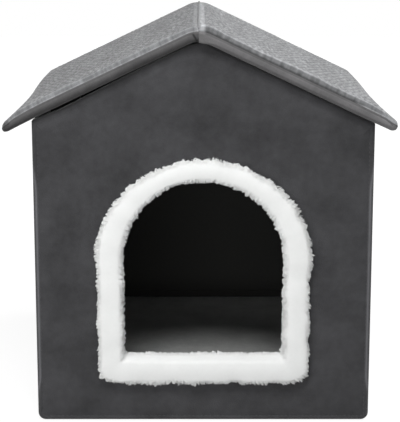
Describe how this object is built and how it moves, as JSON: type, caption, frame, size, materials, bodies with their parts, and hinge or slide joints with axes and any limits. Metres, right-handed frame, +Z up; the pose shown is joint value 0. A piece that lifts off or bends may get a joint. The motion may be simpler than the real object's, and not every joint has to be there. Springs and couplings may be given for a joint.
{
  "type": "foldable pet house",
  "caption": "Padded cloth pet house with a gabled front, fur-trimmed arched doorway, side walls that fold inwards, a floor pad and a loose quilted roof that opens at its ridge.",
  "frame": {"origin": "on the ground in the middle of the house, on the underside of the floor pad", "axes": "+Z up, -Y out of the doorway, +X to the right seen from the front"},
  "size_m": [0.3858, 0.3913, 0.4103],
  "materials": {
    "velvet": "short-pile velvet, dark grey",
    "quilt": "embossed quilted cloth, mid grey",
    "lining": "plain woven lining, dark grey",
    "plush": "short plush, grey",
    "fur": "long-pile faux fur, white",
    "foam": "open-cell foam",
    "piping": "corded seam, dark grey",
    "grip_cloth": "non-slip cloth, near black"
  },
  "bodies": {
    "base": {"base_cover": "plush", "base_foam": "foam", "base_bottom": "grip_cloth"},
    "front": {"front_cover": "velvet", "front_foam": "foam", "front_lining": "lining", "door_trim": "fur", "front_left_return": "velvet", "front_right_return": "velvet", "left_front_seam": "piping", "right_front_seam": "piping"},
    "left_front": {"left_front_cover": "velvet", "left_front_foam": "foam", "left_front_lining": "lining", "left_crease_seam": "piping"},
    "left_rear": {"left_rear_cover": "velvet", "left_rear_foam": "foam", "left_rear_lining": "lining"},
    "right_front": {"right_front_cover": "velvet", "right_front_foam": "foam", "right_front_lining": "lining", "right_crease_seam": "piping"},
    "right_rear": {"right_rear_cover": "velvet", "right_rear_foam": "foam", "right_rear_lining": "lining"},
    "back": {"back_cover": "velvet", "back_foam": "foam", "back_lining": "lining", "back_left_return": "velvet", "back_right_return": "velvet", "left_rear_seam": "piping", "right_rear_seam": "piping"},
    "roof_left": {"roof_left_cover": "quilt", "roof_left_foam": "foam", "roof_left_lining": "lining", "ridge_seam": "quilt"},
    "roof_right": {"roof_right_cover": "quilt", "roof_right_foam": "foam", "roof_right_lining": "lining"}
  },
  "joints": [
    {"name": "shell_lift", "type": "slide", "parent": "base", "child": "front", "axis": [0, 0, 1], "range_m": [0, 0.15]},
    {"name": "left_front_fold", "type": "hinge", "parent": "front", "child": "left_front", "pos_m": [-0.1515, -0.1475, 0.1], "axis": [0, 0, -1], "range_deg": [0, 90]},
    {"name": "left_crease_fold", "type": "hinge", "parent": "left_front", "child": "left_rear", "pos_m": [-0.1705, 0, 0.1], "axis": [0, 0, 1], "range_deg": [0, 180]},
    {"name": "left_rear_fold", "type": "hinge", "parent": "left_rear", "child": "back", "pos_m": [-0.1515, 0.1475, 0.1], "axis": [0, 0, -1], "range_deg": [0, 90]},
    {"name": "right_front_fold", "type": "hinge", "parent": "front", "child": "right_front", "pos_m": [0.1515, -0.1475, 0.1], "axis": [0, 0, 1], "range_deg": [0, 90]},
    {"name": "right_crease_fold", "type": "hinge", "parent": "right_front", "child": "right_rear", "pos_m": [0.1705, 0, 0.1], "axis": [0, 0, -1], "range_deg": [0, 180]},
    {"name": "roof_lift", "type": "slide", "parent": "front", "child": "roof_left", "axis": [0, 0, 1], "range_m": [0, 0.2]},
    {"name": "ridge_fold", "type": "hinge", "parent": "roof_left", "child": "roof_right", "pos_m": [-0.0045, 0, 0.40891], "axis": [0, -1, 0], "range_deg": [0, 180]}
  ],
  "couplings": [
    {"joint": "left_crease_fold", "follows": "left_front_fold", "ratio": 2},
    {"joint": "left_rear_fold", "follows": "left_front_fold", "ratio": 1},
    {"joint": "right_front_fold", "follows": "left_front_fold", "ratio": 1},
    {"joint": "right_crease_fold", "follows": "left_front_fold", "ratio": 2}
  ]
}
